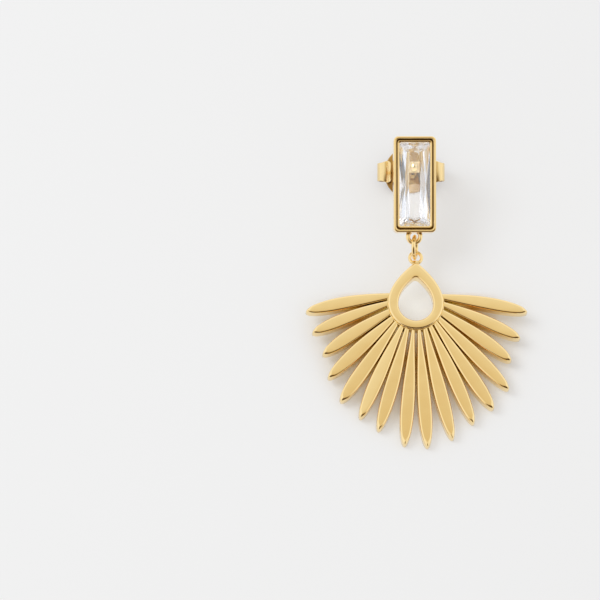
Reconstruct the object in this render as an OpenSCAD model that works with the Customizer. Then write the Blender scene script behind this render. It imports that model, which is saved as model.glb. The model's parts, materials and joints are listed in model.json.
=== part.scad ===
// Statement drop earring: a baguette crystal stud, a jump ring and a fan of sixteen petals.
// It lies on a table at z = 0. +Y runs from the petal tips to the stud, +Z points up.
// The stud leans on the rim of its ear nut, and the lowest petal tips touch the table.

/* [Pose on the table] */
// Lean of the stud from upright, in degrees
stud_lean = 22; // [20:0.5:24]
// Turn of the fan about its loop, in degrees, that takes its tips to the left
fan_turn = 1.3; // [0:0.1:2]
// Sideways offset of the fan's loop from the stud's axis
fan_offset = 0.25; // [0:0.05:0.3]
// Swing of the jump ring about the line between the two loops, in degrees
ring_swing = 8; // [0:1:15]

/* [Setting] */
// Width of the rectangular setting
setting_w = 5.65; // [5.4:0.05:6.2]
// Length of the rectangular setting
setting_l = 12.65; // [12.2:0.05:13.4]
// Thickness of the setting from back to front
setting_t = 2.9; // [2.8:0.1:3.2]
// Radius of the setting's outer corners
setting_r = 0.6; // [0.4:0.05:0.8]
// Width of the raised outer rim
rim_w = 0.42; // [0.35:0.01:0.5]
// Depth of the groove floor below the outer rim
rim_drop = 0.55; // [0.4:0.05:0.6]
// Width of the open back, across the setting
back_open_w = 3.3; // [3:0.1:3.5]
// Width of the bar that carries the post across the open back
bar_w = 1.5; // [1.2:0.1:1.8]
// Thickness of that bar
bar_t = 0.5; // [0.4:0.05:0.5]

/* [Crystal] */
// Width of the crystal at its girdle
crystal_w = 4.25; // [4.2:0.05:4.3]
// Length of the crystal at its girdle
crystal_l = 11.3; // [11.2:0.05:11.4]
// Width of the crystal's table
table_w = 2.7; // [2.4:0.1:3]
// Height of the girdle's lower edge above the setting's back
girdle_z = 1.85; // [1.8:0.05:1.9]

/* [Post] */
// Radius of the post
post_r = 0.45; // [0.4:0.05:0.45]
// Length of the post behind the setting
post_l = 8.6; // [8.4:0.1:8.6]
// Distance of the post from the setting's centre, towards the top
post_up = 2.35; // [1.8:0.05:2.6]
// Radius of the friction waist
waist_r = 0.28; // [0.25:0.01:0.29]
// Distance from the setting's back to the waist
waist_from = 5.6; // [5.4:0.1:5.7]
// Length of the waist
waist_l = 0.8; // [0.6:0.1:1]

/* [Ear nut] */
// Distance from the setting's back to the far face of the nut's plate
nut_d = 7.2; // [7.1:0.1:7.3]
// Radius of the nut's round plate
plate_r = 3.65; // [3.4:0.05:3.8]
// Thickness of the plate and of the curls
plate_t = 0.35; // [0.3:0.05:0.4]
// Overall width across the two curls
nut_span = 9.3; // [9:0.1:9.6]
// Outer diameter of each curl
curl_d = 2.15; // [2:0.05:2.2]
// Width of the strip that forms the curls
strip_w = 2.7; // [2.5:0.1:2.9]
// Radius of the bore around the post
bore_r = 0.5; // [0.5:0.01:0.52]
// Radius of the raised collar round the bore
collar_r = 0.95; // [0.85:0.05:1.05]
// Height of the collar above the plate
collar_h = 1.0; // [0.8:0.1:1]

/* [Loops and jump ring] */
// Radius of the wire of the two small loops
loop_wire_r = 0.22; // [0.2:0.01:0.23]
// Radius of the setting's loop, at the middle of its wire
stud_loop_r = 0.76; // [0.74:0.01:0.8]
// Radius of the fan's loop, at the middle of its wire
fan_loop_r = 0.8; // [0.78:0.01:0.84]
// Radius of the jump ring's wire
ring_wire_r = 0.27; // [0.26:0.005:0.29]
// Radius of the jump ring, at the middle of its wire
ring_r = 1.45; // [1.42:0.01:1.46]
// Steepness of the line between the two loops, in degrees below level
hang_angle = 68; // [66:1:74]

/* [Fan] */
// Thickness of the petals
petal_t = 1.4; // [1.2:0.05:1.5]
// Distance from the fan's loop to the point that the petals spread from
fan_centre = 6.56; // [6.4:0.02:6.7]
// Sideways offset of that point
fan_aside = 0.08; // [0:0.02:0.12]
// Radius of the ledge that the petals grow from
ledge_r = 3.82; // [3.75:0.01:4]

/* [Teardrop frame] */
// Height of the frame above the petals
frame_rise = 0.45; // [0.3:0.05:0.6]
// Radius of the frame's round part
frame_r = 3.57; // [3.4:0.01:3.6]
// Distance from the fan's loop to the centre of that round part
frame_centre = 6.6; // [6.5:0.02:6.7]
// Distance from the fan's loop to the frame's narrow top
frame_top = 1.15; // [1:0.05:1.2]
// Radius of the hole's round part
hole_r = 2.32; // [2.2:0.02:2.4]
// Distance from the fan's loop to the centre of the hole's round part
hole_centre = 6.82; // [6.7:0.02:6.9]
// Distance from the fan's loop to the hole's narrow top
hole_top = 3.17; // [3.1:0.01:3.2]

/* [Hidden] */
$fn = 64;
gold = [0.86, 0.68, 0.36];
clear = [0.86, 0.9, 0.95, 0.5];

// One row for each petal of a side, from the top one down. Angles are in degrees below level, seen
// from the point that the petals spread from, and lengths run from that point to the tip. Widest
// is the share of the length where the petal is widest, and root the share of its width that is
// left at its root. Bow is how far its middle bulges upwards.
// [root angle, left tip angle, left length, right tip angle, right length, width, widest, root, bow]
PETALS = [
    [-17.2,  5.6, 14.75,  3.2, 14.85, 1.76, 0.63, 0.44,  0.20],
    [ -0.4, 17.7, 14.45, 18.2, 14.55, 1.70, 0.66, 0.43,  0.18],
    [ 18.1, 30.9, 14.35, 31.4, 14.75, 1.82, 0.64, 0.46,  0.17],
    [ 33.5, 42.5, 15.65, 43.5, 16.85, 1.84, 0.61, 0.38,  0.05],
    [ 45.2, 54.4, 16.90, 54.6, 17.55, 1.88, 0.69, 0.35, -0.02],
    [ 58.9, 65.5, 17.50, 65.1, 18.00, 1.80, 0.64, 0.34,  0.09],
    [ 70.7, 74.5, 18.20, 75.3, 19.10, 1.83, 0.64, 0.33, -0.10],
    [ 83.7, 85.8, 19.50, 85.4, 19.70, 1.80, 0.70, 0.26,  0.00]
];
LEFT = -1;
RIGHT = 1;
petal_steps = 14;
over = 0.5;

// Where the setting's back meets the post, so that the rim of the nut's plate touches the table
stud_y = plate_r * cos(stud_lean) - nut_d * sin(stud_lean);
stud_z = plate_r * sin(stud_lean) + nut_d * cos(stud_lean);
setting_mid = -post_up;
// The stud's loop sinks a little into the setting's end wall
loop_sink = 0.1;
stud_loop_y = setting_mid - setting_l / 2 - stud_loop_r + loop_sink;
stud_loop_z = 0.9;

// The lowest point of the stud's loop, in the table's frame
band_y = stud_y + (stud_loop_y - stud_loop_r) * cos(stud_lean) - stud_loop_z * sin(stud_lean);
band_z = stud_z + (stud_loop_y - stud_loop_r) * sin(stud_lean) + stud_loop_z * cos(stud_lean);
// The two loops hang apart by the ring's inner width, less their wires and a little play
play = 0.06;
span = 2 * (ring_r - ring_wire_r) - 2 * loop_wire_r - play;
ring_lean = asin(fan_offset / span);
hang = span * cos(ring_lean);
hook_y = band_y - hang * cos(hang_angle);
hook_z = band_z - hang * sin(hang_angle);

// Points of a petal in the fan's frame: side is -1 on the left and 1 on the right
function below(deg, len, side) = [fan_aside + side * len * cos(deg), -fan_centre - len * sin(deg)];
function tip(row, side) = side == LEFT ? below(row[1], row[2], side) : below(row[3], row[4], side);
function root(row, side) = below(row[0], root_r, side);
function turned(p) = [
    p[0] * cos(fan_turn) + p[1] * sin(fan_turn),
    p[1] * cos(fan_turn) - p[0] * sin(fan_turn)
];
root_r = 3.32;
left_tips = [for (row = PETALS) turned(tip(row, LEFT))];
right_tips = [for (row = PETALS) turned(tip(row, RIGHT))];
low_tip = min([for (p = concat(left_tips, right_tips)) p[1]]);

// The slope that lets the fan hang from its hook with its lowest tip on the table
reach = fan_loop_r - low_tip;
fan_slope = asin(hook_z / norm([reach, petal_t / 2])) - atan2(petal_t / 2, reach);
fan_y = hook_y - fan_loop_r * cos(fan_slope);
fan_z = hook_z - fan_loop_r * sin(fan_slope);

// The middle of the whole earring on the table
mid_x = fan_offset + (min([for (p = left_tips) p[0]]) + max([for (p = right_tips) p[0]])) / 2;
top_y = stud_y + plate_r * cos(stud_lean) + nut_d * sin(stud_lean);
low_y = fan_y + low_tip * cos(fan_slope) - petal_t / 2 * sin(fan_slope);
mid_y = (top_y + low_y) / 2;

module on_table() {
    translate([-mid_x, -mid_y, 0])
        children();
}

// The stud's own frame: origin on the post's axis at the setting's back, z to the front
module stud_frame() {
    on_table()
        translate([0, stud_y, stud_z])
            rotate([stud_lean, 0, 0])
                children();
}

// The fan's own frame: origin at the centre of its loop, y up the fan, z to the front
module fan_frame() {
    on_table()
        translate([fan_offset, fan_y, fan_z])
            rotate([fan_slope, 0, 0])
                rotate([0, 0, -fan_turn])
                    children();
}

module rounded(w, l, r) {
    square([w - 2 * r, l], center = true);
    square([w, l - 2 * r], center = true);
    for (x = [-1, 1])
        for (y = [-1, 1])
            translate([x * (w / 2 - r), y * (l / 2 - r)])
                circle(r);
}

module rounded_block(w, l, r, z0, z1) {
    translate([0, setting_mid, z0])
        linear_extrude(z1 - z0)
            rounded(w, l, r);
}

module wire_ring(r, wire) {
    rotate_extrude()
        translate([r, 0])
            circle(wire, $fn = 32);
}

// The stone lies in a seat that is a little larger than its girdle, under a lip that is a little
// smaller, and the groove runs between that lip and the outer rim
stone_play = 0.05;
window_w = crystal_w - 2 * stone_play;
window_l = crystal_l - 2 * stone_play;
seat_w = crystal_w + 2 * stone_play;
seat_l = crystal_l + 2 * stone_play;
seat_top = girdle_z + 0.25;
seat_floor = 0.8;
back_open_l = crystal_l - 1;
groove_z = setting_t - rim_drop;
groove_r = 0.35;
window_r = 0.3;

module frame_walls() {
    difference() {
        rounded_block(setting_w, setting_l, setting_r, 0, setting_t);
        rounded_block(setting_w - 2 * rim_w, setting_l - 2 * rim_w, groove_r, groove_z, setting_t + over);
        rounded_block(window_w, window_l, window_r, seat_top - over, setting_t + over);
        rounded_block(seat_w, seat_l, groove_r, seat_floor, seat_top);
        rounded_block(back_open_w, back_open_l, window_r, -over, seat_floor + over);
    }
}

module post() {
    translate([0, 0, -waist_from])
        cylinder(h = waist_from + bar_t / 2, r = post_r);
    translate([0, 0, -waist_from - waist_l - over / 2])
        cylinder(h = waist_l + over, r = waist_r);
    translate([0, 0, -post_l + post_r])
        cylinder(h = post_l - post_r - waist_from - waist_l, r = post_r);
    translate([0, 0, -post_l + post_r])
        sphere(post_r);
}

module setting() {
    color(gold)
        stud_frame()
            union() {
                frame_walls();
                translate([0, 0, bar_t / 2])
                    cube([back_open_w + over, bar_w, bar_t], center = true);
                post();
                translate([0, stud_loop_y, stud_loop_z])
                    wire_ring(stud_loop_r, loop_wire_r);
            }
}

// A ring of eight points: a rectangle with cut corners
function cut_ring(w, l, c, z) = [
    [w / 2 - c, -l / 2, z],
    [w / 2, -l / 2 + c, z],
    [w / 2, l / 2 - c, z],
    [w / 2 - c, l / 2, z],
    [-w / 2 + c, l / 2, z],
    [-w / 2, l / 2 - c, z],
    [-w / 2, -l / 2 + c, z],
    [-w / 2 + c, -l / 2, z]
];

// Rows from the keel up to the table: [width, length, corner cut, height above the setting's back]
CUT = [
    [0.30, 5.0, 0.10, 0.62],
    [2.60, 9.4, 0.35, 1.05],
    [crystal_w, crystal_l, 0.35, girdle_z],
    [crystal_w, crystal_l, 0.35, girdle_z + 0.12],
    [table_w + 0.9, crystal_l - 0.9, 0.32, girdle_z + 0.47],
    [table_w, crystal_l - 1.9, 0.28, girdle_z + 0.7]
];

module crystal() {
    rings = len(CUT);
    points = [for (row = CUT) each cut_ring(row[0], row[1], row[2], row[3])];
    sides = [for (k = [0:rings - 2]) for (i = [0:7])
        [8 * k + i, 8 * (k + 1) + i, 8 * (k + 1) + (i + 1) % 8, 8 * k + (i + 1) % 8]];
    keel = [for (i = [0:7]) i];
    table = [for (i = [7:-1:0]) 8 * (rings - 1) + i];
    color(clear)
        stud_frame()
            translate([0, setting_mid, 0])
                polyhedron(points, concat([keel, table], sides));
}

module jump_ring() {
    color(gold)
        on_table()
            translate([fan_offset / 2, (band_y + hook_y) / 2, (band_z + hook_z) / 2])
                rotate([hang_angle + 90, 0, 0])
                    rotate([0, ring_lean, 0])
                        rotate([0, 90, ring_swing])
                            wire_ring(ring_r, ring_wire_r);
}

// The half-width of a petal at a share s of its length, as a part of its greatest half-width.
// It swells from the root's share to 1 at the share m, and rounds off from there to the tip.
function leaf(s, m, root_share, swell) = s < m
    ? root_share + (1 - root_share) * pow(sin(90 * s / m), swell)
    : pow(1 - pow((s - m) / (1 - m), 2), 0.55);

module petal(k, side) {
    row = PETALS[k];
    a = root(row, side);
    b = tip(row, side);
    len = norm(b - a);
    along = (b - a) / len;
    across = side * [-along[1], along[0]];
    swell = 1 + 0.07 * k;
    function at(s, edge) = a + along * len * s
        + across * (row[8] * sin(180 * s) + edge * row[5] / 2 * leaf(s, row[6], row[7], swell));
    // Closer steps towards the tip, where the outline turns
    shares = [for (i = [0:petal_steps]) sin(90 * i / petal_steps)];
    upper = [for (i = [0:petal_steps]) at(shares[i], 1)];
    lower = [for (i = [petal_steps - 1:-1:0]) at(shares[i], -1)];
    linear_extrude(petal_t)
        polygon(concat(upper, lower));
}

// A teardrop: a half circle below its centre, and flanks that close to a narrow top above it.
// bend says how long the flanks stay wide.
module teardrop(r, centre, top, top_r, bend) {
    steps = 12;
    function flank(t) = [top_r + (r - top_r) * (1 - pow(t, bend)), -centre + (centre - top) * t];
    side = [for (i = [0:steps]) flank(i / steps)];
    translate([0, -centre])
        circle(r);
    polygon(concat(side, [for (i = [steps:-1:0]) [-side[i][0], side[i][1]]]));
}

// The ledge under the frame, that ends inside the top petals
module ledge() {
    ledge_end = 1 - frame_centre;
    difference() {
        translate([0, -frame_centre])
            circle(ledge_r);
        translate([-ledge_r, ledge_end])
            square([2 * ledge_r, ledge_r]);
    }
}

// The short stem that holds the fan's loop
module stem() {
    stem_w = 0.5;
    stem_l = 0.6;
    translate([0, -frame_top, 0])
        cube([stem_w, stem_l, 2 * loop_wire_r], center = true);
}

module fan_drop() {
    color(gold)
        fan_frame()
            union() {
                difference() {
                    translate([0, 0, -petal_t / 2])
                        union() {
                            linear_extrude(petal_t + frame_rise)
                                teardrop(frame_r, frame_centre, frame_top, top_r = 0.35, bend = 1.9);
                            linear_extrude(petal_t)
                                ledge();
                            for (side = [LEFT, RIGHT])
                                for (k = [0:len(PETALS) - 1])
                                    petal(k, side);
                        }
                    translate([0, 0, -petal_t / 2 - over])
                        linear_extrude(petal_t + frame_rise + 2 * over)
                            teardrop(hole_r, hole_centre, hole_top, top_r = 0.3, bend = 2.1);
                }
                wire_ring(fan_loop_r, loop_wire_r);
                stem();
            }
}

// One curl of the nut, from the plate out and over, as a strip of the given width
module curl() {
    mid = [nut_span / 2 - curl_d / 2, -nut_d + curl_d / 2];
    strip_from = plate_r - 1.2;
    rotate([90, 0, 0])
        linear_extrude(strip_w, center = true)
            union() {
                difference() {
                    translate(mid)
                        circle(curl_d / 2);
                    translate(mid)
                        circle(curl_d / 2 - plate_t);
                    translate([mid[0] - curl_d, mid[1] - curl_d / 2 + plate_t])
                        square([curl_d, curl_d / 2 - plate_t]);
                }
                translate([strip_from, -nut_d])
                    square([mid[0] - strip_from, plate_t]);
            }
}

module ear_nut() {
    color(gold)
        stud_frame()
            difference() {
                union() {
                    translate([0, 0, -nut_d])
                        cylinder(h = plate_t, r = plate_r);
                    translate([0, 0, -nut_d])
                        cylinder(h = plate_t + collar_h, r = collar_r);
                    curl();
                    mirror([1, 0, 0])
                        curl();
                }
                translate([0, 0, -nut_d - over])
                    cylinder(h = plate_t + collar_h + 2 * over, r = bore_r);
            }
}

setting();
crystal();
jump_ring();
fan_drop();
ear_nut();
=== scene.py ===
"""Looks of a statement drop earring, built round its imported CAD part.

Sizes and local places are in millimetres. Each piece is made in the frame of its own sub-part, the
stud, the jump ring or the fan, and that frame's matrix takes it to the row frame, in metres.
"""
import json
import math

import bmesh
import bpy
from mathutils import Matrix, Vector


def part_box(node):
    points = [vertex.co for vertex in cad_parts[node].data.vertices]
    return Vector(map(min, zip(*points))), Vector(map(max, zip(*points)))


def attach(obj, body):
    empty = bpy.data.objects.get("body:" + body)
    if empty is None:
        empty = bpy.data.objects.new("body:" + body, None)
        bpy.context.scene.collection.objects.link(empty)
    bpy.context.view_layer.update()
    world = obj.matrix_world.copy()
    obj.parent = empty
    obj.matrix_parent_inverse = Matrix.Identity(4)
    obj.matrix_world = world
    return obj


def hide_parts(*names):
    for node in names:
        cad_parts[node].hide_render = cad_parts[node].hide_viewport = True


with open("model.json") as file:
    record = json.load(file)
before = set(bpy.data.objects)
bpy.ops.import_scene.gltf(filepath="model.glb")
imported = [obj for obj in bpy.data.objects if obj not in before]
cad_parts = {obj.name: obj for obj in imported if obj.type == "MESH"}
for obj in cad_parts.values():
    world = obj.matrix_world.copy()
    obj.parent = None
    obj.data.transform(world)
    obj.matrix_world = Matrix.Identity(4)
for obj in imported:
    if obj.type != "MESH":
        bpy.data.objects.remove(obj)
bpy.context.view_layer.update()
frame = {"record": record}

MM = 0.001
LEFT = -1
RIGHT = 1

# Points of a mesh that lie closer than the weld become one, and edges shorter than a sliver go
WELD = 1e-4
SLIVER = 1e-5
# Faces that meet at more than this angle keep a sharp edge between them
SHARP_ANGLE = math.radians(32)
# Rounding of the bar's and the stem's edges
BLOCK_EDGE = 0.12

# Setting
SETTING_W = 5.65
SETTING_L = 12.65
SETTING_R = 0.6
POST_UP = 2.35
SETTING_MID = -POST_UP
BAR_W = 1.5
BAR_T = 0.5
BAR_OVERLAP = 0.25
BAR_LIFT = 0.002
BACK_OPEN_W = 3.3

# The corner radius falls by this share of the distance inwards, down to the least
CORNER_FALL = 0.45
CORNER_LEAST = 0.28

# Middle of the groove between rim and lip, and how much farther out their lower ends lie
GROOVE_MID = 0.4
RIM_LOWER_END = 0.19
LIP_LOWER_END = 0.11

# Closed section through the setting's wall, from the back edge round the front and back again.
# Each corner is [distance inwards from the outer wall, height above the back, corner radius].
WALL_SECTION = [
    [0.00, 0.00, 0.14],
    [0.00, 2.90, 0.15],
    [0.33, 2.90, 0.10],
    [0.35, 2.30, 0.03],
    [0.45, 2.30, 0.03],
    [0.48, 2.66, 0.10],
    [0.77, 2.60, 0.10],
    [0.77, 2.24, 0.02],
    [0.65, 2.12, 0.02],
    [0.65, 0.80, 0.05],
    [1.175, 0.80, 0.05],
    [1.175, 0.00, 0.10],
]

# Post
POST_R = 0.45
WAIST_R = 0.28
POST_L = 8.6
WAIST_FROM = 5.6
WAIST_L = 0.8
HEAD_R = 0.65
HEAD_H = 0.18

# Crystal
CRYSTAL_W = 4.25
CRYSTAL_L = 11.3
CRYSTAL_CUT = 0.35
GIRDLE_LOW = 1.85
GIRDLE_HIGH = 1.97

# Rings of eight points: half width and half length at the corners, and how far the middles of the
# long sides and of the ends swell
TABLE_RING = (1.02, 4.5, 0.38, 0.33)
BASE_RING = (0.62, 4.25, 0.14, 0.2)
# Heights of the eight points, and the base's two inner points
TABLE_LEVELS = [2.55] * 8
BASE_LEVELS = [0.53, 0.88, 0.80, 0.80, 0.80, 0.88, 0.53, 0.53]
BASE_SHIELD = (0, 2.9, 0.92)
BASE_WAIST = (0, 0.1, 0.90)

# Ear nut
NUT_D = 7.2
PLATE_R = 3.65
PLATE_T = 0.35
NUT_SPAN = 9.3
BORE_R = 0.5
COLLAR_R = 0.95
COLLAR_H = 1.0
COLLAR_FOOT = 0.22
CURL_D = 2.15
CURL_TURN = 248
STRIP_W = 2.5
STRIP_START = 2.45
STRIP_EDGE = 0.12

# The strip flares into a lobe and then rounds off. Both start so many steps before its end.
STRIP_STEPS = 6
ROLL_STEPS = 40
LOBE_FLARE = 0.26
FLARE_FROM = 18
END_FROM = 8
END_ROUND = 0.93

# Loops and jump ring
LOOP_WIRE_R = 0.22
STUD_LOOP_R = 0.76
LOOP_SWELL = 0.07
STUD_LOOP_Z = 0.9
LOOP_SINK = 0.1
STUD_LOOP_Y = SETTING_MID - SETTING_L / 2 - STUD_LOOP_R + LOOP_SINK
FAN_LOOP_R = 0.8
RING_WIRE_R = 0.27
RING_R = 1.45
HANG_ANGLE = math.radians(68)
RING_SWING = math.radians(8)
FAN_OFFSET = 0.25

# Fan
FAN_SLOPE = math.radians(5.713)
FAN_TURN = math.radians(1.3)
FAN_CENTRE = 6.56
FAN_ASIDE = 0.08
ROOT_R = 3.32
LEDGE_R = 3.82
LEDGE_W = 0.8
LEDGE_TOP = 0.69
# How far up the fan the ledge's two ends lie above its centre
LEDGE_RISE = 1.0
UNDER_EDGE = 0.12
STEM_W = 0.95
STEM_L = 1.05
STEM_T = 0.4
# How far the stem's middle lies above the frame's upper end
STEM_UP = 0.22
# How far the undersides lie above the frame's, so that no two share a plane
PETAL_LIFT = 0.01
LEDGE_LIFT = 0.02
# Places across a face, from edge to edge, that shape its crown
PETAL_COLUMNS = (-0.9, -0.4, 0.4, 0.9)
FRAME_COLUMNS = (-0.85, -0.4, 0.0, 0.4, 0.85)

# Raised frame and its hole: the nose is the upper end, and the bend is that of the flanks
FRAME_R = 3.73
FRAME_CENTRE = 6.6
FRAME_TOP = 1.15
FRAME_Z = 1.15
FRAME_EDGE = 0.28
FRAME_CROWN = 0.008
FRAME_NOSE_R = 0.35
FRAME_NOSE_H = 0.10
FRAME_BEND = 1.9
HOLE_R = 2.32
HOLE_CENTRE = 6.82
HOLE_TOP = 3.17
HOLE_EDGE = 0.22
HOLE_NOSE_R = 0.30
HOLE_NOSE_H = 0.08
HOLE_BEND = 2.1

# Petals. The rounded edge grows by this share from TIP_FROM to the tip.
PETAL_T = 1.4
PETAL_EDGE = 0.24
PETAL_DRAFT = 0.07
PETAL_CROWN = 0.012
TIP_FROM = 0.92
TIP_GROWTH = 1.25

# One row for each petal of a side, from the top one down. Angles are in degrees below level, seen
# from the point that the petals spread from, and lengths run from that point to the tip.
# [root angle, left tip angle, left length, right tip angle, right length, width, widest, root, bow]
PETALS = [
    [-17.2,  5.6, 14.75,  3.2, 14.85, 1.76, 0.63, 0.44,  0.20],
    [ -0.4, 17.7, 14.45, 18.2, 14.55, 1.70, 0.66, 0.43,  0.18],
    [ 18.1, 30.9, 14.35, 31.4, 14.75, 1.82, 0.64, 0.46,  0.17],
    [ 33.5, 42.5, 15.65, 43.5, 16.85, 1.84, 0.61, 0.38,  0.05],
    [ 45.2, 54.4, 16.90, 54.6, 17.55, 1.88, 0.69, 0.35, -0.02],
    [ 58.9, 65.5, 17.50, 65.1, 18.00, 1.80, 0.64, 0.34,  0.09],
    [ 70.7, 74.5, 18.20, 75.3, 19.10, 1.83, 0.64, 0.33, -0.10],
    [ 83.7, 85.8, 19.50, 85.4, 19.70, 1.80, 0.70, 0.26,  0.00],
]
# Each petal down a side swells a little later from its root than the one above it
SWELL_STEP = 0.07
# Slope across the face of single petals, upwards to their upper edge
PETAL_TILT = {(5, LEFT): -0.06}


# Frames of the sub-parts

def stud_frame():
    """Origin on the post's axis at the setting's back, z to the front, in metres for millimetres."""
    post = next(m for m in frame["record"]["mounts"] if m["name"] == "post")
    front = -Vector(post["axis"]).normalized()
    origin = Vector(post["pos_m"]) + front * post["dims"]["length_mm"] / 2 * MM
    side = Vector((1, 0, 0))
    turn = Matrix((side, front.cross(side), front)).transposed().to_4x4()
    return Matrix.Translation(origin) @ turn @ Matrix.Scale(MM, 4)


def ring_centre():
    low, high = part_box("jump_ring")
    return (low + high) / 2


def fan_frame(stud):
    """Origin at the centre of the fan's loop, y up the fan, z to the front."""
    band = stud @ Vector((0, STUD_LOOP_Y - STUD_LOOP_R, STUD_LOOP_Z))
    hook = 2 * ring_centre() - band
    up = Vector((0, math.cos(FAN_SLOPE), math.sin(FAN_SLOPE)))
    place = Matrix.Translation(hook - up * FAN_LOOP_R * MM)
    turn = Matrix.Rotation(FAN_SLOPE, 4, "X") @ Matrix.Rotation(-FAN_TURN, 4, "Z")
    return place @ turn @ Matrix.Scale(MM, 4)


def ring_frame():
    """Origin at the jump ring's centre, z along the ring's axis."""
    span = 2 * (RING_R - RING_WIRE_R) - 2 * LOOP_WIRE_R
    lean = math.asin(FAN_OFFSET / span)
    turn = Matrix.Rotation(HANG_ANGLE + math.pi / 2, 4, "X") @ Matrix.Rotation(lean, 4, "Y")
    turn = turn @ Matrix.Rotation(RING_SWING, 4, "Z") @ Matrix.Rotation(math.pi / 2, 4, "Y")
    return Matrix.Translation(ring_centre()) @ turn @ Matrix.Scale(MM, 4)


# Outlines and meshes

def eased(t):
    """A share from 0 to 1 that starts and ends softly."""
    t = min(max(t, 0), 1)
    return t * t * (3 - 2 * t)


def on_circle(angle):
    return Vector((math.cos(angle), math.sin(angle)))


def rounded_corner(before, corner, after, radius, steps):
    """The points of the arc that rounds one corner of a flat outline."""
    a = (before - corner).normalized()
    b = (after - corner).normalized()
    half = a.angle(b) / 2
    centre = corner + (a + b).normalized() * radius / math.sin(half)
    start = corner + a * radius / math.tan(half) - centre
    end = corner + b * radius / math.tan(half) - centre
    turn = math.pi - 2 * half
    shares = [k / steps for k in range(steps + 1)]
    return [centre + (start * math.sin((1 - s) * turn) + end * math.sin(s * turn)) / math.sin(turn)
            for s in shares]


def rounded_outline(corners, steps=5):
    """A closed outline through [x, y, radius] corners."""
    flat = [Vector((x, y)) for x, y, radius in corners]
    points = []
    for k, corner in enumerate(corners):
        points += rounded_corner(flat[k - 1], flat[k], flat[(k + 1) % len(flat)], corner[2], steps)
    return points


def skin(sections, looped=False, caps=(True, True)):
    """A closed bmesh through rings of local points with equal counts."""
    bm = bmesh.new()
    rings = [[bm.verts.new(p) for p in ring] for ring in sections]
    pairs = list(zip(rings, rings[1:]))
    if looped:
        pairs.append((rings[-1], rings[0]))
    for a, b in pairs:
        for j in range(len(a)):
            k = (j + 1) % len(a)
            bm.faces.new((a[j], a[k], b[k], b[j]))
    if not looped and caps[0]:
        bm.faces.new(list(reversed(rings[0])))
    if not looped and caps[1]:
        bm.faces.new(rings[-1])
    bmesh.ops.remove_doubles(bm, verts=bm.verts, dist=WELD)
    bmesh.ops.dissolve_degenerate(bm, edges=bm.edges, dist=SLIVER)
    bmesh.ops.recalc_face_normals(bm, faces=bm.faces)
    return bm


def lathe(profile, steps=96):
    """A closed bmesh turned round the z axis from a closed [radius, z] outline."""
    sections = []
    for k in range(steps):
        a = 2 * math.pi * k / steps
        sections.append([Vector((r * math.cos(a), r * math.sin(a), z)) for r, z in profile])
    return skin(sections, looped=True)


def torus(radius, wire, steps=96, sides=28):
    """A round ring of wire about the z axis."""
    turns = [2 * math.pi * j / sides for j in range(sides)]
    return lathe([(radius + wire * math.cos(t), wire * math.sin(t)) for t in turns], steps)


def block(size, centre):
    """A box with rounded edges."""
    bm = bmesh.new()
    bmesh.ops.create_cube(bm, size=1)
    bmesh.ops.scale(bm, vec=Vector(size), verts=bm.verts)
    bmesh.ops.bevel(bm, geom=bm.edges, offset=BLOCK_EDGE, segments=4, profile=0.5, affect="EDGES")
    bmesh.ops.translate(bm, vec=Vector(centre), verts=bm.verts)
    return bm


def mesh_object(name, bm, place):
    """An object in the row frame, from a bmesh in the frame that place stands for."""
    bmesh.ops.transform(bm, matrix=place, verts=bm.verts)
    bmesh.ops.recalc_face_normals(bm, faces=bm.faces)
    mesh = bpy.data.meshes.new(name)
    bm.to_mesh(mesh)
    bm.free()
    obj = bpy.data.objects.new(name, mesh)
    bpy.context.scene.collection.objects.link(obj)
    return obj


def apply_modifiers(obj):
    evaluated = obj.evaluated_get(bpy.context.evaluated_depsgraph_get())
    mesh = bpy.data.meshes.new_from_object(evaluated)
    obj.modifiers.clear()
    old, obj.data = obj.data, mesh
    bpy.data.meshes.remove(old)


def fused(name, parts, place):
    """One watertight object from overlapping closed bmeshes, in the local frame's millimetres."""
    unit = Matrix.Identity(4)
    objects = [mesh_object(f"{name}_{k}", bm, unit) for k, bm in enumerate(parts)]
    base = objects[0]
    for tool in objects[1:]:
        join = base.modifiers.new("join", "BOOLEAN")
        join.operation = "UNION"
        join.solver = "MANIFOLD"
        join.object = tool
    apply_modifiers(base)
    for tool in objects[1:]:
        bpy.data.objects.remove(tool)
    base.name = base.data.name = name
    base.data.transform(place)
    base.data.materials.clear()
    return base


def smooth(obj):
    """Smooth shading that keeps flat faces flat and hard edges sharp."""
    mesh = obj.data
    mesh.polygons.foreach_set("use_smooth", [True] * len(mesh.polygons))
    mesh.set_sharp_from_angle(angle=SHARP_ANGLE)
    flat = obj.modifiers.new("flat", "WEIGHTED_NORMAL")
    flat.keep_sharp = True
    flat.weight = 100
    apply_modifiers(obj)


def dress(obj, material, body, node):
    """Gives a finished piece its material and its body, and hides the imported part that it replaces."""
    obj.data.materials.append(material)
    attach(obj, body)
    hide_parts(node)


# Setting

def lower_end(y, on_rim):
    """How much farther out the stud's lower half lies: its rim more than its lip and its stone."""
    if y > 0:
        return 0
    return RIM_LOWER_END if on_rim else LIP_LOWER_END


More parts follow.
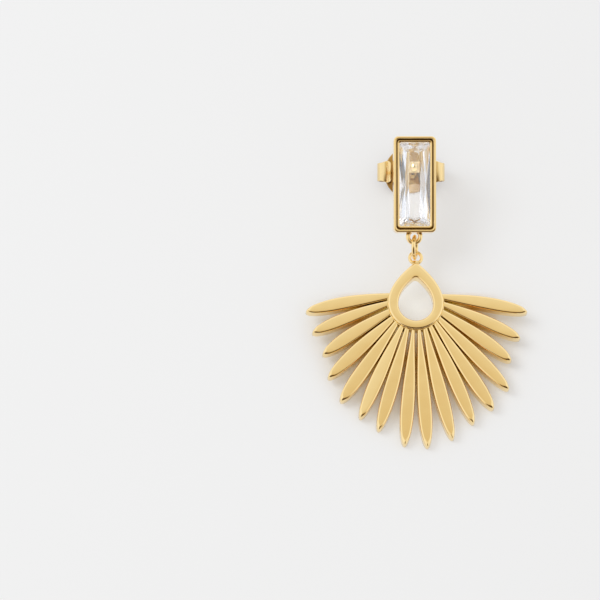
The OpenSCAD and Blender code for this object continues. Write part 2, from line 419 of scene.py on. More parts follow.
def rounded_rectangle(inset, z, corner_steps=10, side_steps=8):
    """One ring of the setting's wall: a rectangle with round corners, drawn in by the inset."""
    half_w = SETTING_W / 2 - inset
    half_l = SETTING_L / 2 - inset
    r = max(SETTING_R - CORNER_FALL * inset, CORNER_LEAST)
    arcs = []
    for quarter, (sx, sy) in enumerate(((1, 1), (-1, 1), (-1, -1), (1, -1))):
        centre = Vector((sx * (half_w - r), sy * (half_l - r)))
        turns = [math.pi / 2 * (quarter + k / corner_steps) for k in range(corner_steps + 1)]
        arcs.append([centre + r * on_circle(a) for a in turns])
    points = []
    for arc, next_arc in zip(arcs, arcs[1:] + arcs[:1]):
        points += arc
        points += [arc[-1].lerp(next_arc[0], k / side_steps) for k in range(1, side_steps)]
    on_rim = inset < GROOVE_MID
    return [Vector((p.x, p.y + SETTING_MID - lower_end(p.y, on_rim), z)) for p in points]


def bezel():
    sections = [rounded_rectangle(p.x, p.y) for p in rounded_outline(WALL_SECTION, steps=6)]
    return skin(sections, looped=True)


def post():
    """The post with its round end and its waist, and its riveted head on the bar."""
    steps = 8
    turns = [math.pi / 2 * k / steps for k in range(steps + 1)]
    round_end = [(POST_R * math.sin(a), -POST_L + POST_R * (1 - math.cos(a))) for a in turns]
    waist_low = -WAIST_FROM - WAIST_L
    waist = [
        (POST_R, waist_low - 0.08), (WAIST_R, waist_low + 0.04),
        (WAIST_R, -WAIST_FROM - 0.06), (POST_R, -WAIST_FROM + 0.06)]
    solder = [(POST_R, -0.3), (POST_R + 0.06, -0.1), (HEAD_R, 0.02)]
    head = [
        (HEAD_R, BAR_T - 0.05), (HEAD_R - 0.08, BAR_T + 0.06),
        (HEAD_R - 0.3, BAR_T + 0.14), (0.0, BAR_T + HEAD_H)]
    return lathe(round_end + waist + solder + head, steps=40)


def make_setting(stud):
    loop = torus(STUD_LOOP_R + LOOP_SWELL, LOOP_WIRE_R + LOOP_SWELL)
    bmesh.ops.translate(loop, vec=Vector((0, STUD_LOOP_Y, STUD_LOOP_Z)), verts=loop.verts)
    bar = block((BACK_OPEN_W + 2 * BAR_OVERLAP, BAR_W, BAR_T), (0, 0, BAR_T / 2 + BAR_LIFT))
    obj = fused("bezel_and_post", [bezel(), bar, post(), loop], stud)
    smooth(obj)
    # Painted shade darkens the setting's groove and crevices
    metal = gold("gold_polished", roughness=0.10, grain=0.35, shade_tones=GROOVE_PAINTED_SHADE)
    dress(obj, metal, "earring", "setting")


# Crystal

def cut_corners(z):
    """The eight points of the girdle at a height, anticlockwise from the right side's lower one."""
    half_w = CRYSTAL_W / 2
    half_l = CRYSTAL_L / 2
    short_w = half_w - CRYSTAL_CUT
    short_l = half_l - CRYSTAL_CUT
    return [Vector((x, y, z)) for x, y in (
        (half_w, -short_l), (half_w, short_l), (short_w, half_l), (-short_w, half_l),
        (-half_w, short_l), (-half_w, -short_l), (-short_w, -half_l), (short_w, -half_l))]


def barrel(half_w, half_l, swell_w, swell_l, levels):
    """Eight points of a rectangle whose four sides swell at their middles, anticlockwise."""
    outline = (
        (half_w, -half_l), (half_w + swell_w, 0), (half_w, half_l), (0, half_l + swell_l),
        (-half_w, half_l), (-half_w - swell_w, 0), (-half_w, -half_l), (0, -half_l - swell_l))
    return [Vector((x, y, z)) for (x, y), z in zip(outline, levels)]


def scissors(bm, ring, top):
    """Crossed triangles between a girdle ring and the eight points above or below it."""
    for side in range(4):
        near = ring[2 * side]
        far = ring[2 * side + 1]
        after = ring[(2 * side + 2) % 8]
        corner = top[2 * side]
        middle = top[2 * side + 1]
        next_corner = top[(2 * side + 2) % 8]
        bm.faces.new((near, far, middle))
        bm.faces.new((near, middle, corner))
        bm.faces.new((far, next_corner, middle))
        bm.faces.new((far, after, next_corner))


def under_facets(bm, base):
    """Ten triangles that close the base ring round its two inner points."""
    shield = bm.verts.new(BASE_SHIELD)
    waist = bm.verts.new(BASE_WAIST)
    for k in range(1, 5):
        bm.faces.new((base[k], base[k + 1], shield))
    for k in range(5, 9):
        bm.faces.new((base[k % 8], base[(k + 1) % 8], waist))
    bm.faces.new((base[5], waist, shield))
    bm.faces.new((waist, base[1], shield))


def make_crystal(stud):
    """A baguette with scissor facets: triangles from the girdle to the middles of the table's edges."""
    bm = bmesh.new()
    low, high, table, base = (
        [bm.verts.new(p) for p in ring] for ring in (
            cut_corners(GIRDLE_LOW), cut_corners(GIRDLE_HIGH),
            barrel(*TABLE_RING, TABLE_LEVELS), barrel(*BASE_RING, BASE_LEVELS)))
    for k in range(8):
        n = (k + 1) % 8
        bm.faces.new((low[k], low[n], high[n], high[k]))
    scissors(bm, high, table)
    scissors(bm, low, base)
    bm.faces.new(table)
    under_facets(bm, base)
    for vert in bm.verts:
        vert.co.y -= lower_end(vert.co.y, on_rim=False)
    obj = mesh_object("baguette_crystal", bm, stud @ Matrix.Translation((0, SETTING_MID, 0)))
    dress(obj, crystal_material(), "earring", "crystal")


# Ear nut

def plate():
    """The round plate with its collar and bore."""
    low = -NUT_D
    high = low + PLATE_T
    collar_top = high + COLLAR_H
    corners = [
        (BORE_R, low, 0.04), (PLATE_R, low, 0.12),
        (PLATE_R, high, 0.15), (COLLAR_R + COLLAR_FOOT, high, 0.2),
        (COLLAR_R, collar_top, 0.18), (BORE_R, collar_top, 0.08)]
    return lathe([(p.x, p.y) for p in rounded_outline(corners)], steps=128)


def strip_path():
    """The way of the nut's strip from the plate round its curl, as (place, heading in radians)."""
    middle = Vector((NUT_SPAN / 2 - CURL_D / 2, -NUT_D + CURL_D / 2))
    r = CURL_D / 2 - PLATE_T / 2
    path = []
    for k in range(STRIP_STEPS):
        x = STRIP_START + (middle.x - STRIP_START) * k / STRIP_STEPS
        path.append((Vector((x, middle.y - r)), 0.0))
    for k in range(ROLL_STEPS + 1):
        a = math.radians(-90 + CURL_TURN * k / ROLL_STEPS)
        path.append((middle + r * on_circle(a), a + math.pi / 2))
    return path


def strip_half_width(left):
    """The strip's half width where so many steps are left to its end."""
    half_w = STRIP_W / 2 + LOBE_FLARE * eased((FLARE_FROM - left) / (FLARE_FROM - END_FROM))
    if left >= END_FROM:
        return half_w
    return half_w * math.sqrt(1 - (END_ROUND * (1 - left / END_FROM)) ** 2)


def curl(side):
    """One ear of the nut: a strip that runs out from the plate and rolls over, with a round end."""
    path = strip_path()
    half_t = PLATE_T / 2
    sections = []
    for k, (place, heading) in enumerate(path):
        half_w = strip_half_width(len(path) - 1 - k)
        normal = Vector((math.sin(heading), -math.cos(heading)))
        corners = [
            (-half_w, -half_t, STRIP_EDGE), (half_w, -half_t, STRIP_EDGE),
            (half_w, half_t, STRIP_EDGE), (-half_w, half_t, STRIP_EDGE)]
        ring = []
        for q in rounded_outline(corners, steps=3):
            at = place + normal * q.y
            ring.append(Vector((side * at.x, q.x, at.y)))
        sections.append(ring)
    return skin(sections)


def make_ear_nut(stud):
    obj = fused("butterfly_nut", [plate(), curl(RIGHT), curl(LEFT)], stud)
    smooth(obj)
    axis = (stud.to_3x3() @ Vector((0, 0, 1))).normalized()
    low = axis.dot(stud @ Vector((0, 0, -NUT_D)))
    # The nut's gold: painted shade from all the pieces near it, and darker towards its plate
    metal = gold(
        "gold_nut", roughness=0.20, grain=0.6, shade_tones=NUT_PAINTED_SHADE,
        reach=NUT_REACH, alone=False, rise=(axis, low))
    dress(obj, metal, "ear_nut", "ear_nut")


# Jump ring

def make_jump_ring():
    obj = mesh_object("ring_link", torus(RING_R, RING_WIRE_R, steps=128, sides=32), ring_frame())
    smooth(obj)
    # Painted shade darkens the ring's crevices
    metal = gold("gold_wire", roughness=0.10, grain=0.3, shade_tones=CREASE_PAINTED_SHADE)
    dress(obj, metal, "earring", "jump_ring")


# Fan

def leaf(s, widest, root_share, swell):
    """The half-width of a petal at a share s of its length, as a part of its greatest half-width."""
    if s < widest:
        return root_share + (1 - root_share) * math.sin(math.pi / 2 * s / widest) ** swell
    return math.sqrt(max(1 - ((s - widest) / (1 - widest)) ** 2, 0))


def below(degrees, length, side):
    """A point of the fan, by its angle below level and its distance from where the petals spread."""
    a = math.radians(degrees)
    return Vector((FAN_ASIDE + side * length * math.cos(a), -FAN_CENTRE - length * math.sin(a)))


def edge_levels(top, bottom, top_r, bottom_r, draft=0, steps=6):
    """Steps down a rounded edge, as (distance in from the outline, height)."""
    levels = []
    for k in range(steps + 1):
        a = math.pi / 2 * k / steps
        levels.append((top_r * (1 - math.sin(a)), top - top_r * (1 - math.cos(a))))
    for k in range(4):
        a = math.pi / 2 * k / 3
        levels.append((bottom_r * (1 - math.cos(a)) - draft, bottom + bottom_r * (1 - math.sin(a))))
    return levels


def tip_growth(s):
    """How much wider a petal's rounded edge is near its tip."""
    return 1 + TIP_GROWTH * eased((s - TIP_FROM) / (1 - TIP_FROM))


def drawn_in(shares, half_width, length, inset):
    """A petal's half outline drawn in by the inset, as (along, aside) points that end on its axis."""
    points = []
    small = 1e-4
    for s in shares:
        slope = (half_width(min(s + small, 1)) - half_width(max(s - small, 0))) / (2 * small * length)
        normal = Vector((-slope, 1)).normalized() if s < 1 else Vector((1, 0))
        depth = inset * tip_growth(s) if inset > 0 else inset
        points.append(Vector((s * length, half_width(s))) - normal * depth)
    for k in range(1, len(points)):
        if points[k].y <= 0:
            a, b = points[k - 1], points[k]
            tip = a.lerp(b, a.y / (a.y - b.y)) if a.y > 0 else Vector((b.x, 0))
            tip.y = 0
            for j in range(k, len(points)):
                points[j] = tip.copy()
            break
    return points


def petal(k, side):
    """A flat leaf with rounded edges and a faint crown across its face."""
    root_angle, left_angle, left_length, right_angle, right_length, *form = PETALS[k]
    width, widest, root_share, bow = form
    tip_angle, reach = (left_angle, left_length) if side == LEFT else (right_angle, right_length)
    start = below(root_angle, ROOT_R, side)
    end = below(tip_angle, reach, side)
    length = (end - start).length
    along = (end - start) / length
    across = side * Vector((-along.y, along.x))
    swell = 1 + SWELL_STEP * k
    half_t = PETAL_T / 2
    tilt = PETAL_TILT.get((k, side), 0)
    steps = 30
    shares = [math.sin(math.pi / 2 * i / steps) for i in range(steps + 1)]

    def half_width(s):
        return width / 2 * leaf(s, widest, root_share, swell)

    def at(p, edge, z):
        """The place of an outline point on the upper edge, 1, or the lower one, -1."""
        s = min(p.x / length, 1)
        flat = start + along * p.x + across * (bow * math.sin(math.pi * s) + edge * p.y)
        if z > 0:
            z = half_t - (half_t - z) * tip_growth(s) + tilt * edge * p.y
        return Vector((flat.x, flat.y, z))

    levels = edge_levels(half_t, -half_t + PETAL_LIFT, PETAL_EDGE, UNDER_EDGE, PETAL_DRAFT)
    curves = [drawn_in(shares, half_width, length, inset) for inset, z in levels]
    sections = []
    for i in range(steps + 1):
        upper = [at(curve[i], 1, z) for curve, (inset, z) in zip(curves, levels)]
        lower = [at(curve[i], -1, z) for curve, (inset, z) in zip(curves, levels)]
        rim = curves[0][i]
        face = []
        for c in PETAL_COLUMNS:
            crown = PETAL_CROWN * (1 - c * c) * rim.y / (width / 2)
            face.append(at(Vector((rim.x, rim.y * abs(c))), math.copysign(1, c), half_t + crown))
        sections.append(upper + list(reversed(lower)) + face)
    return skin(sections, caps=(True, False))


def teardrop(r, centre, top, top_r, bend, nose):
    """A closed outline: half a circle, two flanks and a round nose, anticlockwise."""
    arc_steps = 48
    flank_steps = 18
    nose_steps = 6
    arc = []
    for k in range(arc_steps):
        arc.append(Vector((0, -centre)) + r * on_circle(math.pi + math.pi * k / arc_steps))
    flank = []
    for k in range(flank_steps):
        t = k / flank_steps
        flank.append(Vector((top_r + (r - top_r) * (1 - t ** bend), -centre + (centre - top) * t)))
    tip = []
    for k in range(nose_steps + 1):
        share = 1 - 2 * k / nose_steps
        tip.append(Vector((top_r * share, -top + nose * (1 - share ** 2))))
    return arc + flank + tip + [Vector((-p.x, p.y)) for p in reversed(flank[1:])]


def outward(points):
    """The unit normals of a closed anticlockwise outline."""
    count = len(points)
    normals = []
    for k in range(count):
        step = points[(k + 1) % count] - points[k - 1]
        normals.append(Vector((step.y, -step.x)).normalized())
    return normals


def teardrop_frame():
    """The raised frame round the hole, with rounded edges and a faintly crowned face."""
    outer = teardrop(FRAME_R, FRAME_CENTRE, FRAME_TOP, FRAME_NOSE_R, FRAME_BEND, FRAME_NOSE_H)
    inner = teardrop(HOLE_R, HOLE_CENTRE, HOLE_TOP, HOLE_NOSE_R, HOLE_BEND, HOLE_NOSE_H)
    outer_n = outward(outer)
    inner_n = outward(inner)
    out_levels = edge_levels(FRAME_Z, -PETAL_T / 2, FRAME_EDGE, UNDER_EDGE)
    in_levels = edge_levels(FRAME_Z, -PETAL_T / 2, HOLE_EDGE, UNDER_EDGE)
    sections = []
    for k in range(len(outer)):
        out = [(outer[k] - outer_n[k] * inset, z) for inset, z in out_levels]
        inn = [(inner[k] + inner_n[k] * inset, z) for inset, z in in_levels]
        ring = [Vector((p.x, p.y, z)) for p, z in out + inn[::-1]]
        for c in FRAME_COLUMNS:
            p = inn[0][0].lerp(out[0][0], (1 + c) / 2)
            ring.append(Vector((p.x, p.y, FRAME_Z + FRAME_CROWN * (1 - c * c))))
        sections.append(ring)
    return skin(sections, looped=True)


def ledge():
    """The shelf under the frame, that ends inside the top petals."""
    rise = math.asin(LEDGE_RISE / LEDGE_R)
    inner = LEDGE_R - LEDGE_W
    bottom = -PETAL_T / 2 + LEDGE_LIFT
    corners = [
        (inner, bottom, 0.05), (LEDGE_R, bottom, 0.08),
        (LEDGE_R, LEDGE_TOP, 0.04), (inner, LEDGE_TOP, 0.05)]
    section = rounded_outline(corners, steps=4)
    sections = []
    steps = 96
    for k in range(steps + 1):
        turned = on_circle(-math.pi - rise + (math.pi + 2 * rise) * k / steps)
        sections.append([Vector((p.x * turned.x, p.x * turned.y - FRAME_CENTRE, p.y)) for p in section])
    return skin(sections)


def make_fan(fan):
    petals = [petal(k, side) for side in (LEFT, RIGHT) for k in range(len(PETALS))]
    stem = block((STEM_W, STEM_L, STEM_T), (0, -FRAME_TOP + STEM_UP, 0))
    parts = [teardrop_frame(), ledge(), *petals, torus(FAN_LOOP_R, LOOP_WIRE_R), stem]
    obj = fused("petal_fan", parts, fan)
    smooth(obj)
    # Painted shade darkens the fan's crevices and the gaps between petals
    metal = gold("gold_satin", roughness=0.09, grain=0.5, shade_tones=CREASE_PAINTED_SHADE)
    dress(obj, metal, "earring", "fan_drop")


# Materials

GOLD = (1.0, 0.785, 0.42)
GOLD_TONES = [(0.3, tuple(0.97 * c for c in GOLD)), (0.7, GOLD)]

# Patterns of the gold, each as (waves in a metre, detail), and their depths in metres
TONE_PATTERN = (260.0, 3.0)
POLISH_PATTERN = (900.0, 4.0)
SWELL_PATTERN = (220.0, 2.0)
BRUSH_PATTERN = (14000.0, 2.0)
POLISH_SPREAD = 0.25
SWELL_DEPTH = 0.00008
BRUSH_DEPTH = 0.00002
BRUSH_STRENGTH = 0.04

# Painted shade: tones of the gold from narrow crevices to open faces, darker where nearby walls hem a face
# in, and how far away a wall shelters a face
GROOVE_PAINTED_SHADE = [(0.30, (0.15, 0.075, 0.0)), (0.55, (0.42, 0.28, 0.03)), (0.74, (1.0, 1.0, 1.0))]
NUT_PAINTED_SHADE = [(0.42, (0.16, 0.085, 0.02)), (0.60, (0.62, 0.50, 0.32)), (0.78, (0.95, 0.95, 0.95))]
CREASE_PAINTED_SHADE = [(0.08, (0.80, 0.92, 0.80)), (0.40, (0.94, 0.98, 0.97)), (0.75, (1.0, 1.0, 1.0))]
GROOVE_REACH = 0.6 * MM
NUT_REACH = 4 * MM

# Painted shade on the nut: darker on its plate, lighter up to its curls, between two heights above the
# plate's underside
PLATE_PAINTED_SHADE = [(0.0, (0.62, 0.50, 0.32)), (1.0, (1.0, 1.0, 1.0))]
NUT_LOW = 0.5 * MM
NUT_HIGH = 1.4 * MM

# The stone: how strongly it bends light, how clear it is, its shine and its least and most haze
STONE_IOR = 2.15
STONE_CLEAR = 0.97
STONE_SHINE = 0.2
LEAST_HAZE = 0.02
MOST_HAZE = 0.06
HAZE_PATTERN = (700.0, 2.0)
STONE_TONES = [(0.35, (0.97, 0.98, 1.0)), (0.65, (1.0, 1.0, 1.0))]
# Painted light: a path that has met more faces inside the stone than this ends in an even glow from the
# stone, which is no lamp
LONGEST_PATH = 6.5
PAINTED_GLOW_STRENGTH = 0.75
PAINTED_GLOW_COLOUR = (1.0, 0.95, 0.92, 1.0)


class Nodes:
    """Short names for adding and joining the nodes of one tree. Most give back an output socket."""

    def __init__(self, tree):
        self.tree = tree
        self.place = self.add("ShaderNodeTexCoord")

    def add(self, kind, **values):
        node = self.tree.nodes.new(kind)
        for key, value in values.items():
            if key in node.inputs:
                node.inputs[key].default_value = value
            else:
                setattr(node, key, value)
        return node

    def link(self, out, into):
        self.tree.links.new(out, into)

    def noise(self, place, pattern):
        scale, detail = pattern
        node = self.add("ShaderNodeTexNoise", Scale=scale, Detail=detail)
        self.link(place, node.inputs["Vector"])
        return node.outputs["Fac"]

    def ramp(self, value, stops):
        """The colour of a value between (position, colour) stops."""
        node = self.add("ShaderNodeValToRGB")
        elements = node.color_ramp.elements
        while len(elements) < len(stops):
            elements.new(0.5)
        for element, (position, colour) in zip(elements, stops):
            element.position = position
            element.color = (*colour, 1)
        self.link(value, node.inputs["Fac"])
        return node.outputs["Color"]

    def span(self, value, low, high, to_low=0.0, to_high=1.0):
        """A value mapped from one range to another."""
        node = self.add("ShaderNodeMapRange")
        for name, limit in (("From Min", low), ("From Max", high), ("To Min", to_low), ("To Max", to_high)):
            node.inputs[name].default_value = limit
        self.link(value, node.inputs["Value"])
        return node.outputs["Result"]

    def split(self, place):
        """The x, y and z outputs of a place or direction."""
        node = self.add("ShaderNodeSeparateXYZ")
        self.link(place, node.inputs["Vector"])
        return node.outputs

    def sum(self, a, b):
        node = self.add("ShaderNodeMath", operation="ADD")
        self.link(a, node.inputs[0])
        self.link(b, node.inputs[1])
        return node.outputs["Value"]

    def product(self, a, b):
        node = self.add("ShaderNodeMath", operation="MULTIPLY")
        self.link(a, node.inputs[0])
        self.link(b, node.inputs[1])
        return node.outputs["Value"]

    def tinted(self, a, b):
        """Two colours multiplied."""
        node = self.add("ShaderNodeVectorMath", operation="MULTIPLY")
        self.link(a, node.inputs[0])
        self.link(b, node.inputs[1])
        return node.outputs["Vector"]

    def towards(self, place, direction):
        """How far a place lies in a direction, or how closely another direction follows it."""
        node = self.add("ShaderNodeVectorMath", operation="DOT_PRODUCT")
        node.inputs[1].default_value = direction.normalized()
        self.link(place, node.inputs[0])
        return node.outputs["Value"]

    def open_share(self, reach, alone):
        """How open a face is to what lies within reach, of its own piece or of all pieces."""
        node = self.add("ShaderNodeAmbientOcclusion", Distance=reach, samples=8, only_local=alone)
        return node.outputs["AO"]

    def bump(self, height, strength, distance, before=None):
        node = self.add("ShaderNodeBump", Strength=strength, Distance=distance)
        self.link(height, node.inputs["Height"])
        if before:
            self.link(before, node.inputs["Normal"])
        return node.outputs["Normal"]

    def zoned(self, outside, zones):
        """One colour, with another in each (mask, colour) zone. Sockets 6, 7 and 2 are the colours."""
        before = None
        for mask, colour in zones:
            node = self.add("ShaderNodeMix", data_type="RGBA")
            node.inputs[6].default_value = (*outside, 1)
            node.inputs[7].default_value = (*colour, 1)
            self.link(mask, node.inputs[0])
            if before:
                self.link(before, node.inputs[6])
            before = node.outputs[2]
        return before

    def either(self, share, first, second):
        """The first shader where the share is 0, and the second where it is 1."""
        node = self.add("ShaderNodeMixShader")
        self.link(share, node.inputs["Fac"])
        self.link(first, node.inputs[1])
        self.link(second, node.inputs[2])
        return node.outputs["Shader"]


def new_material(name):
    """A new material with its nodes and its shader's inputs."""
    material = bpy.data.materials.new(name)
    material.use_nodes = True
    return material, Nodes(material.node_tree), material.node_tree.nodes["Principled BSDF"].inputs


def gold(name, roughness, grain, shade_tones, reach=GROOVE_REACH, alone=True, rise=None):
    """Gold plate: soft changes of tone and polish, fine brushing that shows as satin, and painted shade in
    its crevices.

    The rise is the direction and the height from which the nut's painted shade, darkest on its plate,
    lightens upwards.
    """
    material, nodes, inputs = new_material(name)
    place = nodes.place.outputs["Object"]
    plate_tone = nodes.ramp(nodes.noise(place, TONE_PATTERN), GOLD_TONES)
    # Painted shade: the colour darkens where walls within reach shelter a face
    colour = nodes.tinted(plate_tone, nodes.ramp(nodes.open_share(reach, alone), shade_tones))
    # Painted shade on the nut: darker low on its plate, lighter up towards its curls
    if rise:
        up, low = rise
        height = nodes.span(nodes.towards(place, up), low + NUT_LOW, low + NUT_HIGH)
        colour = nodes.tinted(colour, nodes.ramp(height, PLATE_PAINTED_SHADE))
    smoothest = roughness * (1 - POLISH_SPREAD)
    roughest = roughness * (1 + POLISH_SPREAD)
    polish = nodes.span(nodes.noise(place, POLISH_PATTERN), 0.0, 1.0, smoothest, roughest)
    swell = nodes.bump(nodes.noise(place, SWELL_PATTERN), 1.0, SWELL_DEPTH * grain)
    brushing = nodes.noise(place, BRUSH_PATTERN)
    inputs["Metallic"].default_value = 1
    nodes.link(colour, inputs["Base Color"])
    nodes.link(polish, inputs["Roughness"])
    nodes.link(nodes.bump(brushing, BRUSH_STRENGTH * grain, BRUSH_DEPTH, swell), inputs["Normal"])
    return material


def crystal_material():
    """Clear stone with a faint cold cast, a trace of haze and a painted even glow inside it."""
    material, nodes, inputs = new_material("crystal_clear")
    inputs["Transmission Weight"].default_value = STONE_CLEAR
    inputs["IOR"].default_value = STONE_IOR
    inputs["Specular IOR Level"].default_value = STONE_SHINE
    haze = nodes.noise(nodes.place.outputs["Object"], HAZE_PATTERN)
    nodes.link(nodes.ramp(haze, STONE_TONES), inputs["Base Color"])
    nodes.link(nodes.span(haze, 0.0, 1.0, LEAST_HAZE, MOST_HAZE), inputs["Roughness"])
    # Painted light: long paths inside the stone end in an even glow
    deep = nodes.add("ShaderNodeMath", operation="GREATER_THAN")
    deep.inputs[1].default_value = LONGEST_PATH
    nodes.link(nodes.add("ShaderNodeLightPath").outputs["Ray Depth"], deep.inputs[0])
    glow = nodes.add("ShaderNodeEmission", Strength=PAINTED_GLOW_STRENGTH, Color=PAINTED_GLOW_COLOUR)
    stone = material.node_tree.nodes["Principled BSDF"].outputs["BSDF"]
    surface = nodes.either(deep.outputs["Value"], stone, glow.outputs["Emission"])
    nodes.link(surface, material.node_tree.nodes["Material Output"].inputs["Surface"])
    return material


# Studio

# Sizes and places of the table, the camera and the lamp, in metres
FLOOR_SIZE = 3.0
CAMERA_AT = Vector((-15.569, -99.581, 228.332)) * MM
CAMERA_TILT = math.radians(23.5)
CAMERA_LENS = 110.25
KEY_TOWARDS = Vector((-0.78, 0.19, 1.0))
KEY_DISTANCE = 0.6
KEY_SIZE = 0.30
KEY_POWER = 1.0
ROOM_LIGHT = 0.775

# Colour and painted glow of the table: open, where the glow lifts its shadows; under the petals, where the
# glow gives way to their shade but for a faint painted warm light; painted warm shade in the gaps between
# them, as of light off the gold; and painted brighter light in the hole
FLOOR_OPEN = (0.417, 0.447, 0.477)
FLOOR_UNDER = (0.807, 0.842, 0.877)
GAPS_PAINTED_SHADE = (0.46, 0.30, 0.13)
GLOW_OPEN = (0.46, 0.43, 0.40)
GLOW_UNDER = (0.07, 0.035, 0.0)
GLOW_HOLE = (0.60, 0.58, 0.54)

# Zones of the table's painted light and shade, by the distance in metres from a point below the hole
INSIDE = (1.0, 1.0, 1.0)
OUTSIDE = (0.0, 0.0, 0.0)
UNDER_ZONE = [(0.0030, OUTSIDE), (0.0042, INSIDE), (0.0145, INSIDE), (0.0190, OUTSIDE)]
GAPS_ZONE = [(0.0040, OUTSIDE), (0.0045, INSIDE), (0.0088, INSIDE), (0.0112, OUTSIDE)]
HOLE_ZONE = [(0.0024, INSIDE), (0.0031, OUTSIDE)]
ZONE_SHIFT = 1.3 * MM
# The two outer zones fade out towards the stud, between these distances from that point
FADE_FROM = 0.5 * MM
FADE_TO = 2.0 * MM
# The farthest that metal above the table counts, and the zone by how open the table is to it: the painted
# shade, warm light and hole light show only where metal is near
SHADE_REACH = 6.5 * MM
SHADE_ZONE = [(0.82, INSIDE), (0.97, OUTSIDE)]

# The room as metal reflects it: its brightness, and its shades from below to above, from the
# horizon to the middle of its softly shaded top, and towards the middle of its dark side
REFLECTED = 1.01
ROOM_SHADES = [
    (0.0, (1.05, 1.05, 1.05)),
    (0.45, (1.02, 1.02, 1.02)),
    (0.85, (1.0, 1.0, 1.0)),
    (1.0, (0.97, 0.97, 0.97)),
]
TOP_TOWARDS = Vector((0.065, -0.02, 1.0))
TOP_SHADES = [
    (0.850, (0.98, 0.97, 0.94)),
    (0.930, (0.95, 0.93, 0.86)),
    (0.9686, (0.862, 0.812, 0.67)),
    (0.9877, (0.775, 0.675, 0.48)),
    (1.000, (0.73, 0.61, 0.42)),
]
DARK_TOWARDS = Vector((0.10, -0.86, 0.50))
DARK_NARROW = 0.9
SIDE_SHADES = [
    (0.55, (1.0, 1.0, 1.0)),
    (0.735, (0.86, 0.80, 0.70)),
    (0.83, (0.17, 0.10, 0.03)),
    (1.00, (0.09, 0.05, 0.015)),
]

# The room as light that leaves the stone meets it: its brightness, a patchy cast, its shades from
# its middle to its near and far ends, and the narrow cool shade that the stone's long facets catch
THROUGH_STONE = 2.0
CAST_PATTERN = (1.6, 1.0)
CAST_SHADES = [
    (0.30, (0.62, 0.66, 0.72)),
    (0.45, (0.92, 0.94, 1.0)),
    (0.58, (1.0, 0.98, 0.97)),
    (0.72, (0.86, 0.80, 0.76)),
]
END_SHADES = [(0.30, (0.56, 0.565, 0.58)), (0.75, (1.0, 0.965, 0.95))]
COOL_TOWARDS = Vector((0.07, -0.27, 0.956))
COOL_SHADES = [(0.980, (1.0, 1.0, 1.0)), (0.993, (0.13, 0.17, 0.21)), (1.0, (0.10, 0.13, 0.17))]


def board_material(middle):
    """Pale board with a painted glow that softens its shadows, held back under the petals, with painted
    warm shade between them and painted brighter light in the hole.
    """
    material, nodes, inputs = new_material("pale_board")
    inputs["Roughness"].default_value = 0.7
    inputs["Specular IOR Level"].default_value = 0.0
    inputs["Emission Strength"].default_value = 1
    place = nodes.place.outputs["Object"]
    distance = nodes.add("ShaderNodeVectorMath", operation="DISTANCE")
    distance.inputs[1].default_value = middle
    nodes.link(place, distance.inputs[0])
    away = distance.outputs["Value"]
    near = nodes.span(nodes.split(place)["Y"], middle.y + FADE_TO, middle.y + FADE_FROM)
    shaded = nodes.ramp(nodes.open_share(SHADE_REACH, False), SHADE_ZONE)
    # Painted light and shade: they take hold only where metal hangs close above the table
    beneath = nodes.product(near, shaded)
    covered = nodes.product(nodes.ramp(away, UNDER_ZONE), beneath)
    between = nodes.product(nodes.ramp(away, GAPS_ZONE), beneath)
    ringed = nodes.product(nodes.ramp(away, HOLE_ZONE), shaded)
    zones = [(covered, FLOOR_UNDER), (between, GAPS_PAINTED_SHADE), (ringed, FLOOR_OPEN)]
    nodes.link(nodes.zoned(FLOOR_OPEN, zones), inputs["Base Color"])
    glows = [(covered, GLOW_UNDER), (ringed, GLOW_HOLE)]
    nodes.link(nodes.zoned(GLOW_OPEN, glows), inputs["Emission Color"])
    return material


def make_floor(fan):
    bm = bmesh.new()
    bmesh.ops.create_grid(bm, x_segments=2, y_segments=2, size=FLOOR_SIZE / 2)
    obj = mesh_object("table_top", bm, Matrix.Identity(4))
    middle = fan @ Vector((0, -HOLE_CENTRE, 0)) + Vector((0, ZONE_SHIFT, 0))
    middle.z = 0
    obj.data.materials.append(board_material(middle))


def make_key():
    light = bpy.data.lights.new("key", "AREA")
    light.shape = "DISK"
    light.size = KEY_SIZE
    light.energy = KEY_POWER
    obj = bpy.data.objects.new("key", light)
    bpy.context.scene.collection.objects.link(obj)
    towards = KEY_TOWARDS.normalized()
    obj.location = towards * KEY_DISTANCE
    obj.rotation_mode = "QUATERNION"
    obj.rotation_quaternion = towards.to_track_quat("Z", "Y")
    obj.visible_glossy = False


def reflected_room(nodes, direction):
    """The pale room that metal mirrors, with a softly shaded top and one soft dark side."""
    narrow = nodes.add("ShaderNodeVectorMath", operation="MULTIPLY")
    narrow.inputs[1].default_value = (DARK_NARROW, 1, 1)
    nodes.link(direction, narrow.inputs[0])
    unit = nodes.add("ShaderNodeVectorMath", operation="NORMALIZE")
    nodes.link(narrow.outputs["Vector"], unit.inputs[0])
    side = nodes.ramp(nodes.towards(unit.outputs["Vector"], DARK_TOWARDS), SIDE_SHADES)
    top = nodes.ramp(nodes.towards(direction, TOP_TOWARDS), TOP_SHADES)
    level = nodes.add("ShaderNodeMath", operation="MULTIPLY")
    level.inputs[1].default_value = REFLECTED
    nodes.link(nodes.ramp(nodes.split(direction)["Z"], ROOM_SHADES), level.inputs[0])
    room = nodes.add("ShaderNodeBackground")
    nodes.link(nodes.tinted(side, top), room.inputs["Color"])
    nodes.link(level.outputs["Value"], room.inputs["Strength"])
    return room.outputs["Background"]


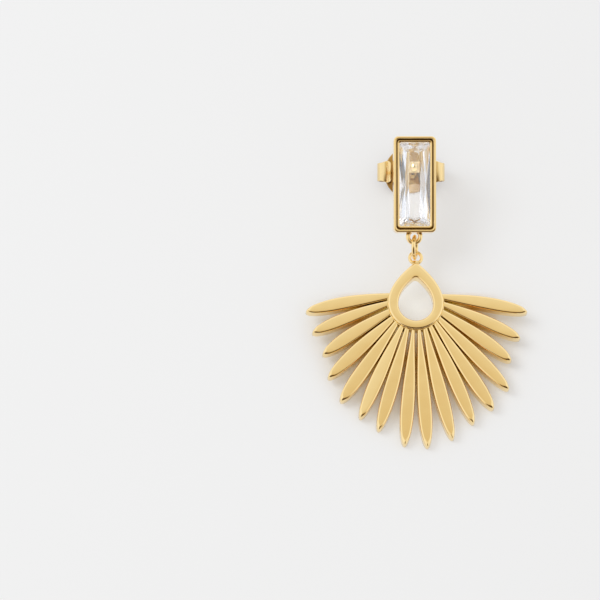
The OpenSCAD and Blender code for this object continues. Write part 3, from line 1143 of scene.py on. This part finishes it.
def refracted_room(nodes, direction):
    """The brighter room that light from inside the stone ends in."""
    cast = nodes.ramp(nodes.noise(direction, CAST_PATTERN), CAST_SHADES)
    along = nodes.add("ShaderNodeMath", operation="ABSOLUTE")
    nodes.link(nodes.split(direction)["Y"], along.inputs[0])
    ends = nodes.ramp(along.outputs["Value"], END_SHADES)
    cool = nodes.ramp(nodes.towards(direction, COOL_TOWARDS), COOL_SHADES)
    room = nodes.add("ShaderNodeBackground", Strength=THROUGH_STONE)
    nodes.link(nodes.tinted(nodes.tinted(cast, ends), cool), room.inputs["Color"])
    return room.outputs["Background"]


def make_sky():
    """An even pale room for the table, and the two shaded rooms for metal and stone."""
    world = bpy.data.worlds.new("room")
    bpy.context.scene.world = world
    world.use_nodes = True
    world.cycles.sampling_method = "NONE"
    nodes = Nodes(world.node_tree)
    even = world.node_tree.nodes["Background"]
    even.inputs["Color"].default_value = (1, 1, 1, 1)
    even.inputs["Strength"].default_value = ROOM_LIGHT
    direction = nodes.place.outputs["Generated"]
    ray = nodes.add("ShaderNodeLightPath").outputs
    shaded = nodes.either(
        ray["Is Transmission Ray"], reflected_room(nodes, direction), refracted_room(nodes, direction))
    plain = nodes.sum(ray["Is Diffuse Ray"], ray["Is Camera Ray"])
    room = nodes.either(plain, shaded, even.outputs["Background"])
    nodes.link(room, world.node_tree.nodes["World Output"].inputs["Surface"])


def make_camera():
    data = bpy.data.cameras.new("camera")
    data.lens = CAMERA_LENS
    data.sensor_width = 36
    data.clip_start = 0.01
    data.clip_end = 20
    obj = bpy.data.objects.new("camera", data)
    bpy.context.scene.collection.objects.link(obj)
    obj.location = CAMERA_AT
    obj.rotation_euler = (CAMERA_TILT, 0, 0)
    bpy.context.scene.camera = obj


def main():
    scene = bpy.context.scene
    scene.view_settings.view_transform = "Standard"
    scene.cycles.max_bounces = 64
    scene.cycles.glossy_bounces = 40
    scene.cycles.transmission_bounces = 60
    stud = stud_frame()
    fan = fan_frame(stud)
    make_setting(stud)
    make_crystal(stud)
    make_ear_nut(stud)
    make_jump_ring()
    make_fan(fan)
    make_floor(fan)
    make_key()
    make_sky()
    make_camera()


main()
